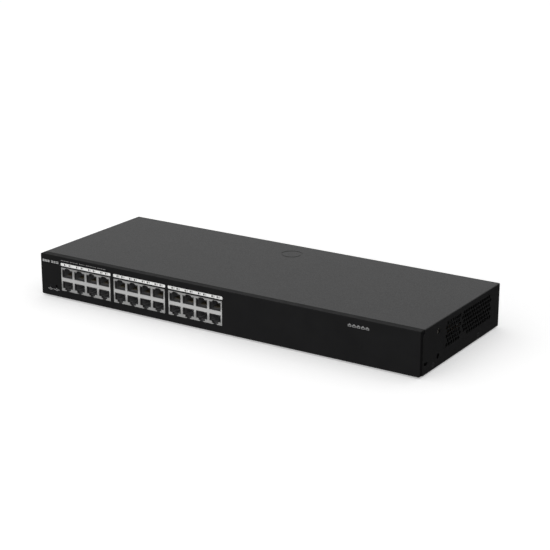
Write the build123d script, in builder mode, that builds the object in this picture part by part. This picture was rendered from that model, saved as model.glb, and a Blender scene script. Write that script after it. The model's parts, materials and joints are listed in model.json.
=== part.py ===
from build123d import *
import math
import os

os.makedirs("parts", exist_ok=True)

# Rack-width, fanless, 24-port network switch.
# The row frame has its origin at the middle of the box that holds the switch, on the surface
# that the feet stand on. +X runs along the front to the viewer's right, -Y is the front, +Z is up.
# The helper at() takes lengths from the chassis's left end, front face and underside instead,
# because a maker's drawing of a chassis is dimensioned from those three faces.

# ---------------------------------------------------------------- driving dimensions, millimetres
width = 440.0
depth = 165.0
height = 43.6
foot_height = 1.6
foot_radius = 6.0
jack_proud = 0.4
rear_proud = 2.2
sheet = 1.0
sheet_corner = 0.9
side_gap = 0.1

front_y = -(depth + jack_proud + rear_proud) / 2 + jack_proud
left_x = -width / 2
base_z = foot_height

# bezel: its top and sides wrap round the chassis's front edges
bezel_wall = 2.0
bezel_top_depth = 7.5
bezel_side_depth = 4.3
bezel_flare_level = 40.0
bezel_flare = 3.0
bezel_edge = 0.6
bezel_low_corner = 1.6
bezel_tongue = 3.5
seam = 0.2
hooks_at = [(x, z) for x in (93.0, 161.0, 255.0, 335.0, 415.0) for z in (4.0, 38.6)]
hook_width = 8.0
hook_thickness = 1.4
hook_barb = 0.9

# tray
flange_height = 8.0
tray_front = bezel_wall
tray_rear = depth - sheet
rear_flange_height = 8.5

# jack blocks: three of them, each four columns by two rows of sockets
block_count = 3
block_first = 59.0
block_pitch = 68.0
block_centres = [block_first + block_pitch * i for i in range(block_count)]
block_width = 63.7
block_height = 24.75
block_depth = 19.8
block_clearance = 0.15
shield_sheet = 0.4
port_pitch = 15.8
port_columns = [-1.5 * port_pitch, -0.5 * port_pitch, 0.5 * port_pitch, 1.5 * port_pitch]

# one moulded socket: a wide mouth, a narrower step and a latch slot, each as its half width
# and its two distances from the middle line between the two rows
socket_mouth = (5.975, 2.75, 9.35)
socket_step = (3.05, 9.35, 11.3)
socket_slot = (1.65, 11.3, 11.7)
socket_depth = 13.5
# the shield's openings, a little larger than the sockets, and the upper row's larger still
shield_openings = {
    1: [(6.7, 1.9, 10.5), (3.5, 10.5, 11.5), (2.2, 11.5, 14.0)],
    -1: [(6.7, 1.9, 9.4), (3.8, 9.4, 11.3), (2.0, 11.3, 14.0)],
}
contact_pitch = 1.02
contact_width = 0.45
contact_thickness = 0.35

# boards
board_bottom = 6.3
board_thickness = 1.6
board_top = board_bottom + board_thickness
main_board_x = (6.0, 250.0)
main_board_y = (4.5, 112.0)
psu_board_x = (322.0, 418.0)
psu_board_y = (60.0, 132.0)
standoff_radius = 3.0
screw_radius = 1.5
board_screws_at = [(12, 40), (93, 27), (161, 27), (244, 30), (12, 105), (128, 106), (244, 105)]
psu_screws_at = [(327, 65), (413, 65), (327, 127), (413, 127)]

# lamps over the sockets and beside the reset hole
lamp_level = 35.85
lamp_shift = -0.45
lamp_offset = 3.05
lamp_width = 1.2
lamp_height = 1.8
lamp_leg_y = 23.2
front_service_level = 10.9
power_lamp_x = 11.8
reset_x = 19.9

power_window_radius = 1.0

# reset switch
pinhole_radius = 1.35
button_radius = 1.5
button_clearance = 0.06
button_front = 5.0
switch_front = 6.4
switch_depth = 3.6
switch_bore_depth = 1.2
button_travel = 0.25

# side features, as distance from the front face and height over the underside
rack_hole_radius = 2.65
rack_holes_y = 35.0
rack_holes_z = (9.7, 33.9)
lock_slot_at = (11.0, 9.7)
lock_slot_size = (7.0, 3.0)
side_screws_at = [(25.6, 4.3), (119.3, 4.3)]
rear_screws_x = [30.0, 220.0, 410.0]
screw_head_radius = 2.5
vent_pitch = 4.9
vent_flat = 3.9
vent_rows = 6
vent_first_row = 15.0

# mains inlet on the rear wall
inlet_x = 390.0
inlet_z = 18.0
inlet_flange = (50.0, 22.5, 2.0)
inlet_body = (27.6, 19.8, 22.0)
inlet_cavity = (24.4, 16.2, 17.0)
inlet_cut_corner = 4.6
inlet_screw_spacing = 40.0
ground_x = 350.0
ground_z = 14.0


# ---------------------------------------------------------------- helpers
def at(x, y, z):
    """Row-frame point for lengths from the chassis's left end, front face and underside."""
    return (left_x + x, front_y + y, base_z + z)


def block(x, y, z, mode=Mode.ADD):
    """A box that fills three (low, high) spans, in chassis lengths."""
    with Locations(at((x[0] + x[1]) / 2, (y[0] + y[1]) / 2, (z[0] + z[1]) / 2)):
        Box(x[1] - x[0], y[1] - y[0], z[1] - z[0], mode=mode)


def body_at(place, size, z, mode=Mode.ADD):
    """A box centred on the (x, y) place, with the (x, y) size, over the (low, high) span z."""
    with Locations(at(place[0], place[1], (z[0] + z[1]) / 2)):
        Box(size[0], size[1], z[1] - z[0], mode=mode)


def span(a, b):
    """The (low, high) pair of two lengths given in either order."""
    return (min(a, b), max(a, b))


def front_plane(x, y, z):
    """Sketch plane facing the viewer in front: local x runs along the front, local y is up."""
    return Plane(origin=at(x, y, z), x_dir=(1, 0, 0), z_dir=(0, -1, 0))


def side_plane(x, y, z):
    """Sketch plane facing +X: local x runs to the rear, local y is up."""
    return Plane(origin=at(x, y, z), x_dir=(0, 1, 0), z_dir=(1, 0, 0))


def top_plane(x, y, z):
    """Sketch plane facing up."""
    return Plane(origin=at(x, y, z))


def post(x, y, z, radius, mode=Mode.ADD):
    """An upright cylinder over the (low, high) span z."""
    with Locations(at(x, y, (z[0] + z[1]) / 2)):
        Cylinder(radius, z[1] - z[0], mode=mode)


def rod_y(x, z, y, radius, mode=Mode.ADD):
    """A cylinder along Y over the (low, high) span y."""
    with Locations(at(x, (y[0] + y[1]) / 2, z)):
        Cylinder(radius, y[1] - y[0], rotation=(90, 0, 0), mode=mode)


def rod_x(y, z, x, radius, mode=Mode.ADD):
    """A cylinder along X over the (low, high) span x."""
    with Locations(at((x[0] + x[1]) / 2, y, z)):
        Cylinder(radius, x[1] - x[0], rotation=(0, 90, 0), mode=mode)


def cone_tip(place, rotation, mode=Mode.ADD):
    """The 90 degree countersunk head, wide end at place; rotation turns its axis from +Z."""
    head_depth = screw_head_radius - screw_radius
    with Locations(Location(place, rotation)):
        Cone(
            screw_radius,
            screw_head_radius,
            head_depth,
            align=(Align.CENTER, Align.CENTER, Align.MAX),
            mode=mode,
        )


def bezel_return(grown):
    """Side view of the space that the bezel takes, at its rear grown by a clearance.

    The return is shallow down the sides and flares to the top's depth near the upper corner.
    """
    shallow = bezel_side_depth + grown
    deep = bezel_top_depth + grown
    flare_level = bezel_flare_level - grown
    with BuildSketch(side_plane(0, 0, 0)) as outline:
        with BuildLine():
            Polyline(
                (-1, -1),
                (shallow, -1),
                (shallow, flare_level),
                (deep, flare_level),
                (deep, height + 1),
                (-1, height + 1),
                close=True,
            )
        make_face()
        inner_corner = outline.vertices().group_by(Axis.Y)[1].sort_by(Axis.X)[0]
        fillet(inner_corner, bezel_flare - grown)
    return outline.sketch


def jack_openings(column, runs, row):
    """One socket's opening as rectangles stacked away from the middle line."""
    for half_across, low, high in runs:
        with Locations((column, row * (low + high) / 2)):
            Rectangle(2 * half_across, high - low)


def arc_radii(points):
    """Bend radii that give each corner 0.45 of its shorter run."""
    radii = []
    for before, corner, after in zip(points, points[1:], points[2:]):
        run_in = Vector(*corner) - Vector(*before)
        run_out = Vector(*after) - Vector(*corner)
        turn = math.radians(run_in.get_angle(run_out))
        radii.append(0.45 * min(run_in.length, run_out.length) / math.tan(turn / 2))
    return radii


def save(piece, name):
    """Label a finished piece and write it."""
    piece.part.label = name
    export_step(piece.part, f"parts/{name}.step")


inner_left = sheet + side_gap
inner_right = width - sheet - side_gap
block_z = (board_top, board_top + block_height)
block_middle = board_top + block_height / 2
lamps_at = [
    block_x + column + lamp_shift + side * lamp_offset
    for block_x in block_centres
    for column in port_columns
    for side in (-1, 1)
]

# ---------------------------------------------------------------- sheet-metal tray
with BuildPart() as base_tray:
    # floor, front wall, rear wall and low side flanges folded from one sheet
    block((inner_left, inner_right), (tray_front, tray_rear), (0, height - sheet - seam))
    fillet(base_tray.edges().filter_by(Axis.X).group_by(Axis.Z)[0], sheet_corner)
    block(
        (inner_left + sheet, inner_right - sheet),
        (tray_front + sheet, tray_rear - sheet),
        (sheet, height),
        mode=Mode.SUBTRACT,
    )
    for side_x in (inner_left, inner_right - sheet):
        block(
            (side_x - 1, side_x + sheet + 1),
            (tray_front + sheet, tray_rear - sheet),
            (flange_height, height),
            mode=Mode.SUBTRACT,
        )
        # room behind the lower rack-ear holes
        block(
            (side_x - 1, side_x + sheet + 1),
            (rack_holes_y - 6, rack_holes_y + 6),
            (5.5, flange_height),
            mode=Mode.SUBTRACT,
        )
    # the front wall is lower than the rear one and folds back under the bezel's tongue
    block(
        (0, width),
        (tray_front, tray_front + sheet),
        (height - bezel_wall, height),
        mode=Mode.SUBTRACT,
    )
    block(
        (inner_left + 6, inner_right - 6),
        (tray_front + sheet, bezel_top_depth + bezel_tongue + 2),
        (height - bezel_wall - sheet, height - bezel_wall),
    )
    # openings for the jack blocks and, above each, for its eight light pipes
    with BuildSketch(front_plane(block_first + block_pitch, tray_front, block_middle)):
        with GridLocations(block_pitch, 1, block_count, 1):
            Rectangle(block_width + 4 * block_clearance, block_height + 4 * block_clearance)
        with Locations((0, lamp_level - block_middle)):
            with GridLocations(block_pitch, 1, block_count, 1):
                SlotOverall(3 * port_pitch + 11.6, lamp_height + 2)
    extrude(amount=-sheet, mode=Mode.SUBTRACT)
    # power lamp, reset pin and the slots for the bezel's hooks
    with BuildSketch(front_plane(0, tray_front, 0)):
        with Locations((power_lamp_x, front_service_level), (reset_x, front_service_level)):
            Circle(1.8)
        with Locations(*hooks_at):
            Rectangle(hook_width + 1, hook_thickness + 1)
    extrude(amount=-sheet, mode=Mode.SUBTRACT)
    # rear wall: inlet cut-out, its two screws, the ground screw and the cover's three screws
    with BuildSketch(front_plane(0, tray_rear, 0)):
        with Locations((inlet_x, inlet_z)):
            Rectangle(inlet_body[0] + 0.4, inlet_body[1] + 0.4)
            with GridLocations(inlet_screw_spacing, 1, 2, 1):
                Circle(screw_radius)
        with Locations((ground_x, ground_z)):
            Circle(2.0)
        with Locations(*[(x, height - rear_flange_height / 2) for x in rear_screws_x]):
            Circle(screw_radius)
    extrude(amount=sheet, mode=Mode.SUBTRACT)
    # side flange holes for the cover's screws, and room behind the lock slot
    for screw_y, screw_z in side_screws_at:
        rod_x(screw_y, screw_z, (0, width), screw_radius, mode=Mode.SUBTRACT)
    block((width - 8, width), (lock_slot_at[0] - 5, lock_slot_at[0] + 5), (5.5, 12), mode=Mode.SUBTRACT)
save(base_tray, "base_tray")

# ---------------------------------------------------------------- top cover with both sides
lower_corner_slope = 2.0
bezel_room = bezel_return(seam)

with BuildPart() as top_cover:
    block((0, width), (0, depth), (0, height))
    top_edges = top_cover.faces().sort_by(Axis.Z)[-1].edges().sort_by(Axis.Y)[1:]
    rear_edges = top_cover.edges().filter_by(Axis.Z).group_by(Axis.Y)[-1]
    fillet(top_edges + rear_edges, sheet_corner)
    block(
        (sheet, width - sheet),
        (0, tray_rear),
        (-1, height - sheet),
        mode=Mode.SUBTRACT,
    )
    extrude(bezel_room, amount=width, mode=Mode.SUBTRACT)
    block(
        (sheet, width - sheet),
        (tray_rear - 1, depth + 1),
        (-1, height - rear_flange_height),
        mode=Mode.SUBTRACT,
    )
    # screw holes for the rack ears, two on each side
    for hole_z in rack_holes_z:
        rod_x(rack_holes_y, hole_z, (-1, width + 1), rack_hole_radius, mode=Mode.SUBTRACT)
    # honeycomb vents through both sides, in two fields with a solid bar between them
    with BuildSketch(side_plane(0, 0, 0)):
        for row in range(vent_rows):
            row_z = vent_first_row + row * vent_pitch * math.sqrt(3) / 2
            row_shift = vent_pitch / 2 * (row % 2)
            front_field = [51.6 + row_shift + vent_pitch * i for i in range(6)]
            rear_field = [84.8 + row_shift + vent_pitch * i for i in range(13)]
            slanted_limit = 93.0 - lower_corner_slope * (row_z - vent_first_row)
            for vent_y in front_field + rear_field:
                in_front_field = vent_y < 79.5
                in_rear_field = slanted_limit < vent_y < 145.0 and vent_y > 82.0
                if in_front_field or in_rear_field:
                    with Locations((vent_y, row_z)):
                        RegularPolygon(vent_flat / 2, 6, major_radius=False, rotation=30)
    extrude(amount=width, mode=Mode.SUBTRACT)
    # lock slot on the right side only
    with BuildSketch(side_plane(width, *lock_slot_at)):
        SlotOverall(*lock_slot_size)
    extrude(amount=-sheet, mode=Mode.SUBTRACT)
    # countersunk seats
    for screw_y, screw_z in side_screws_at:
        cone_tip(at(0, screw_y, screw_z), (0, -90, 0), mode=Mode.SUBTRACT)
        cone_tip(at(width, screw_y, screw_z), (0, 90, 0), mode=Mode.SUBTRACT)
        rod_x(screw_y, screw_z, (-1, width + 1), screw_radius, mode=Mode.SUBTRACT)
    for screw_x in rear_screws_x:
        screw_z = height - rear_flange_height / 2
        cone_tip(at(screw_x, depth, screw_z), (-90, 0, 0), mode=Mode.SUBTRACT)
        rod_y(screw_x, screw_z, (tray_rear - 1, depth), screw_radius, mode=Mode.SUBTRACT)
    # plain ring pressed into the top near the rear edge
    with BuildSketch(top_plane(width / 2, 136, height)):
        Circle(11.5)
        Circle(9.5, mode=Mode.SUBTRACT)
    extrude(amount=-0.25, mode=Mode.SUBTRACT)
save(top_cover, "top_cover")

with BuildPart() as cover_screws:
    for screw_y, screw_z in side_screws_at:
        cone_tip(at(0, screw_y, screw_z), (0, -90, 0))
        rod_x(screw_y, screw_z, (0.9, 6), screw_radius)
        cone_tip(at(width, screw_y, screw_z), (0, 90, 0))
        rod_x(screw_y, screw_z, (width - 6, width - 0.9), screw_radius)
    for screw_x in rear_screws_x:
        screw_z = height - rear_flange_height / 2
        cone_tip(at(screw_x, depth, screw_z), (-90, 0, 0))
        rod_y(screw_x, screw_z, (depth - 6, depth - 0.9), screw_radius)
    # cross recesses
    for screw_y, screw_z in side_screws_at:
        for face_x in (0, width):
            for arm in ((1.9, 0.5), (0.5, 1.9)):
                with Locations(at(face_x, screw_y, screw_z)):
                    Box(1.4, arm[0], arm[1], mode=Mode.SUBTRACT)
    for screw_x in rear_screws_x:
        for arm in ((1.9, 0.5), (0.5, 1.9)):
            with Locations(at(screw_x, depth, height - rear_flange_height / 2)):
                Box(arm[0], 1.4, arm[1], mode=Mode.SUBTRACT)
save(cover_screws, "cover_screws")

# ---------------------------------------------------------------- moulded front bezel
bezel_outline = bezel_return(0)

with BuildPart() as front_bezel:
    block((0, width), (0, bezel_top_depth), (0, height))
    # the outline's upper corners match the cover's
    fillet(front_bezel.edges().filter_by(Axis.Y).group_by(Axis.Z)[-1], sheet_corner)
    fillet(front_bezel.edges().filter_by(Axis.Y).group_by(Axis.Z)[0], bezel_low_corner)
    fillet(front_bezel.faces().sort_by(Axis.Y)[0].edges(), bezel_edge)
    extrude(bezel_outline, amount=width, mode=Mode.INTERSECT)
    block(
        (sheet, width - sheet),
        (bezel_wall, bezel_top_depth + 1),
        (-1, height - bezel_wall),
        mode=Mode.SUBTRACT,
    )
    # tongue that the cover's front edge lies on
    block(
        (inner_left + 1, inner_right - 1),
        (bezel_top_depth, bezel_top_depth + bezel_tongue),
        (height - bezel_wall, height - sheet - 0.05),
    )
    # hooks through the tray's front wall, each with a barb behind it
    for hook_x, hook_z in hooks_at:
        hook_span = (hook_x - hook_width / 2, hook_x + hook_width / 2)
        half_hook = hook_thickness / 2
        outward = 1 if hook_z > height / 2 else -1
        block(hook_span, (bezel_wall, 5.2), (hook_z - half_hook, hook_z + half_hook))
        barb_tip = hook_z + outward * (half_hook + hook_barb)
        block(hook_span, (tray_front + sheet + 0.1, 4.6), span(hook_z, barb_tip))
    # windows for the jack blocks
    with BuildSketch(front_plane(block_first + block_pitch, 0, block_middle)):
        with GridLocations(block_pitch, 1, block_count, 1):
            RectangleRounded(
                block_width + 2 * block_clearance, block_height + 2 * block_clearance, 0.4
            )
    extrude(amount=-bezel_wall, mode=Mode.SUBTRACT)
    # windows for the port lamps, the power lamp and the reset pin
    with BuildSketch(front_plane(0, 0, 0)):
        with Locations(*[(x, lamp_level) for x in lamps_at]):
            Rectangle(lamp_width + 0.1, lamp_height + 0.1)
        with Locations((power_lamp_x, front_service_level)):
            Circle(power_window_radius)
        with Locations((reset_x, front_service_level)):
            Circle(pinhole_radius)
    extrude(amount=-bezel_wall, mode=Mode.SUBTRACT)
save(front_bezel, "front_bezel")

# ---------------------------------------------------------------- jack blocks
# a contact wire runs forward along the socket's wall, turns over and slopes back as a spring;
# each pair is the distance behind the front face and the rise off that wall
contact_profile = [(socket_depth, 0.45), (5.2, 0.45), (4.4, 0.8), (4.4, 1.1), (11.2, 1.85)]

for number, block_x in enumerate(block_centres, start=1):
    with BuildPart() as jack_shield:
        half = block_width / 2
        block((block_x - half, block_x + half), (-jack_proud, block_depth - jack_proud), block_z)
        fillet(jack_shield.faces().sort_by(Axis.Y)[0].edges().filter_by(Axis.Z), 0.3)
        block(
            (block_x - half + shield_sheet, block_x + half - shield_sheet),
            (shield_sheet - jack_proud, block_depth - jack_proud - shield_sheet),
            (block_z[0] - 1, block_z[1] - shield_sheet),
            mode=Mode.SUBTRACT,
        )
        # the latch slots run out at the shield's upper and lower edges
        with BuildSketch(front_plane(block_x, -jack_proud, block_middle)):
            for column in port_columns:
                for row, runs in shield_openings.items():
                    jack_openings(column, runs, row)
        extrude(amount=-shield_sheet, mode=Mode.SUBTRACT)
        # grounding springs pressed out of the top, seen over the block
        for column in port_columns:
            block(
                (block_x + column - 5.5, block_x + column - 3.0),
                (6, 12),
                (block_z[1] - shield_sheet - 0.01, block_z[1] + 0.01),
                mode=Mode.SUBTRACT,
            )
            block(
                (block_x + column - 5.2, block_x + column - 3.3),
                (6, 11.5),
                (block_z[1] - shield_sheet, block_z[1]),
            )
    save(jack_shield, f"jack_shield_{number}")

    with BuildPart() as jack_housing:
        half = block_width / 2 - shield_sheet
        housing_top = block_z[1] - shield_sheet
        housing_rear = block_depth - jack_proud - shield_sheet
        block((block_x - half, block_x + half), (0, housing_rear), (block_z[0], housing_top))
        with BuildSketch(front_plane(block_x, 0, block_middle)):
            for column in port_columns:
                for row in (-1, 1):
                    jack_openings(column, [socket_mouth, socket_step, socket_slot], row)
        extrude(amount=-socket_depth, mode=Mode.SUBTRACT)
        # comb of grooves behind the sockets where the contact wires turn down
        for column in port_columns:
            block(
                (block_x + column - 4.6, block_x + column + 4.6),
                (socket_depth + 1.5, socket_depth + 3.5),
                (block_z[0] - 1, block_z[0] + 3),
                mode=Mode.SUBTRACT,
            )
    save(jack_housing, f"jack_housing_{number}")

    with BuildPart() as jack_contacts:
        for row in (-1, 1):
            first_x = block_x - contact_width / 2
            first_z = block_middle + row * socket_mouth[1]
            contact_route = [(y, row * rise) for y, rise in contact_profile]
            with BuildSketch(side_plane(first_x, 0, first_z)):
                with BuildLine():
                    Polyline(*contact_route)
                trace(line_width=contact_thickness)
            wire = extrude(amount=contact_width, mode=Mode.PRIVATE)
            wires_at = [
                (column + (way - 3.5) * contact_pitch, 0, 0)
                for column in port_columns
                for way in range(8)
            ]
            with Locations(*wires_at):
                add(wire)
    save(jack_contacts, f"jack_contacts_{number}")

    with BuildPart() as light_pipe:
        block_lamps = lamps_at[(number - 1) * 8 : number * 8]
        for lamp_x in block_lamps:
            span_x = (lamp_x - lamp_width / 2, lamp_x + lamp_width / 2)
            span_z = (lamp_level - lamp_height / 2, lamp_level + lamp_height / 2)
            block(span_x, (0.1, lamp_leg_y + 1), span_z)
            block(span_x, (lamp_leg_y - 1, lamp_leg_y + 1), (board_top + 0.9, span_z[1]))
        outer_edges = light_pipe.edges().filter_by(Axis.X).group_by(Axis.Z)[-1]
        chamfer(outer_edges.group_by(Axis.Y)[-1], 1.6)
        # carrier bars that hold the eight rods and rest on the shield and on the board
        block(
            (block_lamps[0] - 2, block_lamps[-1] + 2),
            (12, 15),
            (block_z[1], lamp_level - lamp_height / 2 + 0.6),
        )
        bar_y = (lamp_leg_y - 0.6, lamp_leg_y + 0.6)
        block((block_lamps[0] - 2, block_lamps[-1] + 2), bar_y, (16, 18))
        for foot_x in (block_lamps[0] - 2, block_lamps[-1] + 0.8):
            block((foot_x, foot_x + 1.2), bar_y, (board_top, 18))
    save(light_pipe, f"light_pipe_{number}")

# ---------------------------------------------------------------- power lamp and reset switch
with BuildPart() as power_light_pipe:
    rod_y(power_lamp_x, front_service_level, (0.1, 5.0), power_window_radius - 0.05)
    rod_y(power_lamp_x, front_service_level, (3.2, 5.0), 1.7)
save(power_light_pipe, "power_light_pipe")

with BuildPart() as lamps:
    # one surface-mount lamp under each leg, and a side-facing one behind the power window
    for lamp_x in lamps_at:
        body_at((lamp_x, lamp_leg_y), (1.6, 0.8), (board_top, board_top + 0.7))
    block(
        (power_lamp_x - 1.6, power_lamp_x + 1.6),
        (5.2, 8.0),
        (board_top, front_service_level + 1.6),
    )
save(lamps, "lamps")

switch_rear = switch_front + switch_depth
with BuildPart() as reset_switch_body:
    switch_z = (board_top, front_service_level + 3.1)
    block((reset_x - 3.3, reset_x + 3.3), (switch_front, switch_rear), switch_z)
    chamfer(reset_switch_body.edges().filter_by(Axis.Y), 0.4)
    rod_y(
        reset_x,
        front_service_level,
        (switch_front - 1, switch_front + switch_bore_depth),
        button_radius + button_clearance,
        mode=Mode.SUBTRACT,
    )
    for leg_x in (reset_x - 3.6, reset_x + 3.3):
        leg_z = (board_top, front_service_level)
        block((leg_x, leg_x + 0.3), (switch_front + 1, switch_front + 2.6), leg_z)
save(reset_switch_body, "reset_switch_body")

# the button stops short of its bore's floor by more than its travel
button_rear = switch_front + switch_bore_depth - button_travel - 0.15
with BuildPart() as reset_button:
    rod_y(reset_x, front_service_level, (button_front, button_rear), button_radius)
    fillet(reset_button.edges().group_by(Axis.Y)[0], 0.4)
save(reset_button, "reset_button")

# ---------------------------------------------------------------- main board
with BuildPart() as main_board:
    block(main_board_x, main_board_y, (board_bottom, board_top))
    chamfer(main_board.edges().filter_by(Axis.Z), 1.5)
    for hole_x, hole_y in board_screws_at:
        post(hole_x, hole_y, (board_bottom, board_top), screw_radius, mode=Mode.SUBTRACT)
save(main_board, "main_board")

with BuildPart() as board_standoffs:
    for post_x, post_y in board_screws_at:
        post(post_x, post_y, (sheet, board_bottom), standoff_radius)
        post(post_x, post_y, (sheet + 1, board_bottom), screw_radius, mode=Mode.SUBTRACT)
save(board_standoffs, "board_standoffs")


def pan_screw(x, y):
    """A pan-head screw that holds a board on its standoff."""
    post(x, y, (board_top, board_top + 2.0), 2.8)
    post(x, y, (sheet + 1.5, board_top), screw_radius)
    for arm in ((2.6, 0.6), (0.6, 2.6)):
        with Locations(at(x, y, board_top + 2.0)):
            Box(arm[0], arm[1], 1.6, mode=Mode.SUBTRACT)


with BuildPart() as board_screws:
    for screw_x, screw_y in board_screws_at:
        pan_screw(screw_x, screw_y)
save(board_screws, "board_screws")

switch_chip_at = (128.0, 86.0)
switch_chip_side = 27.0
switch_chip_top = board_top + 2.2
with BuildPart() as switch_chip:
    body_at(switch_chip_at, (switch_chip_side, switch_chip_side), (board_top, switch_chip_top))
    chamfer(switch_chip.edges().group_by(Axis.Z)[-1], 0.3)
save(switch_chip, "switch_chip")

heatsink_side = 30.0
heatsink_rise = 12.0
heatsink_base = 2.5
heatsink_fins = 10
with BuildPart() as chip_heatsink:
    # a plate with a row of fins, cut by two cross gaps into pins
    heatsink_z = (switch_chip_top, switch_chip_top + heatsink_rise)
    body_at(switch_chip_at, (heatsink_side, heatsink_side), heatsink_z)
    fin_height = heatsink_rise - heatsink_base
    with Locations(at(*switch_chip_at, heatsink_z[1] - fin_height / 2)):
        with GridLocations(heatsink_side / heatsink_fins, 1, heatsink_fins - 1, 1):
            Box(1.8, heatsink_side, fin_height, mode=Mode.SUBTRACT)
        with GridLocations(1, heatsink_side / 3, 1, 2):
            Box(heatsink_side, 2.0, fin_height, mode=Mode.SUBTRACT)
save(chip_heatsink, "chip_heatsink")

phy_chip_y = 59.0
with BuildPart() as phy_chips:
    for chip_x in block_centres:
        body_at((chip_x, phy_chip_y), (14.0, 14.0), (board_top, board_top + 1.4))
    chamfer(phy_chips.edges().group_by(Axis.Z)[-1], 0.2)
save(phy_chips, "phy_chips")

module_y = 38.0
module_offset = 15.5
module_lead_pitch = 2.0
with BuildPart() as lan_transformers:
    # two moulded modules behind each jack block, with gull-wing leads along both long sides
    for block_x in block_centres:
        for module_x in (block_x - module_offset, block_x + module_offset):
            body_at((module_x, module_y), (26.0, 10.0), (board_top + 0.3, board_top + 6.3))
            for lead in range(12):
                lead_at = (module_x + (lead - 5.5) * module_lead_pitch, module_y)
                body_at(lead_at, (0.6, 13.6), (board_top, board_top + 0.3))
save(lan_transformers, "lan_transformers")

memory_at = (167.5, 84.0)
memory_lead_pitch = 1.27
with BuildPart() as memory_chip:
    body_at(memory_at, (5.0, 4.0), (board_top + 0.1, board_top + 1.7))
    for lead in range(4):
        lead_at = (memory_at[0] + (lead - 1.5) * memory_lead_pitch, memory_at[1])
        body_at(lead_at, (0.4, 6.0), (board_top, board_top + 0.1))
save(memory_chip, "memory_chip")

with BuildPart() as clock_crystal:
    with BuildSketch(top_plane(156, 78, board_top)):
        SlotOverall(11, 4.4)
    extrude(amount=3.4)
    fillet(clock_crystal.faces().sort_by(Axis.Z)[-1].edges(), 0.4)
save(clock_crystal, "clock_crystal")

coil_side = 7.2
with BuildPart() as board_inductors:
    for coil_at in ((204, 80), (204, 94), (218, 87)):
        body_at(coil_at, (coil_side, coil_side), (board_top, board_top + 4.2))
    chamfer(board_inductors.edges().filter_by(Axis.Z), 0.9)
save(board_inductors, "board_inductors")

with BuildPart() as board_capacitors:
    for can_x, can_y, can_radius, can_height in (
        (232, 60, 4.0, 11.0),
        (232, 71, 4.0, 11.0),
        (220, 62, 3.15, 8.0),
        (184, 80, 3.15, 8.0),
        (184, 92, 3.15, 8.0),
        (84, 82, 3.15, 8.0),
    ):
        post(can_x, can_y, (board_top, board_top + can_height), can_radius)
    fillet(board_capacitors.edges().filter_by(GeomType.CIRCLE).group_by(Axis.Z)[-1], 0.5)
save(board_capacitors, "board_capacitors")

chip_part = (1.6, 0.8)
with BuildPart() as ceramic_capacitors:
    # rows of small chips beside each physical-layer chip and columns beside the switch chip
    part_z = (board_top, board_top + 0.8)
    for chip_x in block_centres:
        for row_y in (phy_chip_y - 11, phy_chip_y + 11):
            for part in range(6):
                body_at((chip_x + (part - 2.5) * 3.0, row_y), (chip_part[1], chip_part[0]), part_z)
    for column_x in (switch_chip_at[0] - 21, switch_chip_at[0] + 21):
        for part in range(8):
            body_at((column_x, switch_chip_at[1] + (part - 3.75) * 3.2), chip_part, part_z)
save(ceramic_capacitors, "ceramic_capacitors")

# ---------------------------------------------------------------- power supply board
film_margin = 4.0
film_z = (sheet, sheet + 0.3)
with BuildPart() as psu_insulator:
    block(
        (psu_board_x[0] - film_margin, psu_board_x[1] + film_margin),
        (psu_board_y[0] - film_margin, psu_board_y[1] + film_margin),
        film_z,
    )
    for hole_x, hole_y in psu_screws_at:
        post(hole_x, hole_y, film_z, standoff_radius + 0.5, mode=Mode.SUBTRACT)
save(psu_insulator, "psu_insulator")

with BuildPart() as psu_board:
    block(psu_board_x, psu_board_y, (board_bottom, board_top))
    chamfer(psu_board.edges().filter_by(Axis.Z), 1.0)
    for hole_x, hole_y in psu_screws_at:
        post(hole_x, hole_y, (board_bottom, board_top), screw_radius, mode=Mode.SUBTRACT)
    # creepage slot under the transformer
    block((349, 351), (84, 112), (board_bottom, board_top), mode=Mode.SUBTRACT)
save(psu_board, "psu_board")

with BuildPart() as psu_standoffs:
    for post_x, post_y in psu_screws_at:
        post(post_x, post_y, (sheet, board_bottom), standoff_radius)
        post(post_x, post_y, (sheet + 1, board_bottom), screw_radius, mode=Mode.SUBTRACT)
save(psu_standoffs, "psu_standoffs")

with BuildPart() as psu_screws:
    for screw_x, screw_y in psu_screws_at:
        pan_screw(screw_x, screw_y)
save(psu_screws, "psu_screws")

transformer_at = (350.0, 98.0)
core_size = (26.0, 10.0)
core_z = (10.4, 31.4)
core_leg = 7.6
bobbin_z = (13.9, 27.9)
with BuildPart() as transformer_core:
    # ferrite frame round the bobbin, standing across the creepage slot
    body_at(transformer_at, core_size, core_z)
    for window_x in (transformer_at[0] - 6.8, transformer_at[0] + 6.8):
        window_at = (window_x, transformer_at[1])
        body_at(window_at, (6.0, core_size[1] + 2), (13.8, 28.0), mode=Mode.SUBTRACT)
save(transformer_core, "transformer_core")

with BuildPart() as transformer_winding:
    # wound bobbin on the core's centre leg, with its pin bases
    body_at(transformer_at, (19.4, 22.0), bobbin_z)
    fillet(transformer_winding.edges().filter_by(Axis.Z), 3.0)
    leg_z = (bobbin_z[0] - 1, bobbin_z[1] + 1)
    body_at(transformer_at, (core_leg, core_size[1]), leg_z, mode=Mode.SUBTRACT)
    for base_y in (transformer_at[1] - 8.75, transformer_at[1] + 8.75):
        body_at((transformer_at[0], base_y), (20.0, 4.5), (board_top, bobbin_z[0]))
save(transformer_winding, "transformer_winding")

with BuildPart() as bulk_capacitor:
    post(372, 76, (board_top, board_top + 26), 8.0)
    fillet(bulk_capacitor.edges().group_by(Axis.Z)[-1], 0.9)
save(bulk_capacitor, "bulk_capacitor")

with BuildPart() as output_capacitors:
    for can_x in (331.5, 343):
        post(can_x, 74, (board_top, board_top + 20), 5.0)
    fillet(output_capacitors.edges().filter_by(GeomType.CIRCLE).group_by(Axis.Z)[-1], 0.7)
save(output_capacitors, "output_capacitors")

choke_x = 388.0
choke_y = 112.0
choke_z = board_top + 9.5
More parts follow.
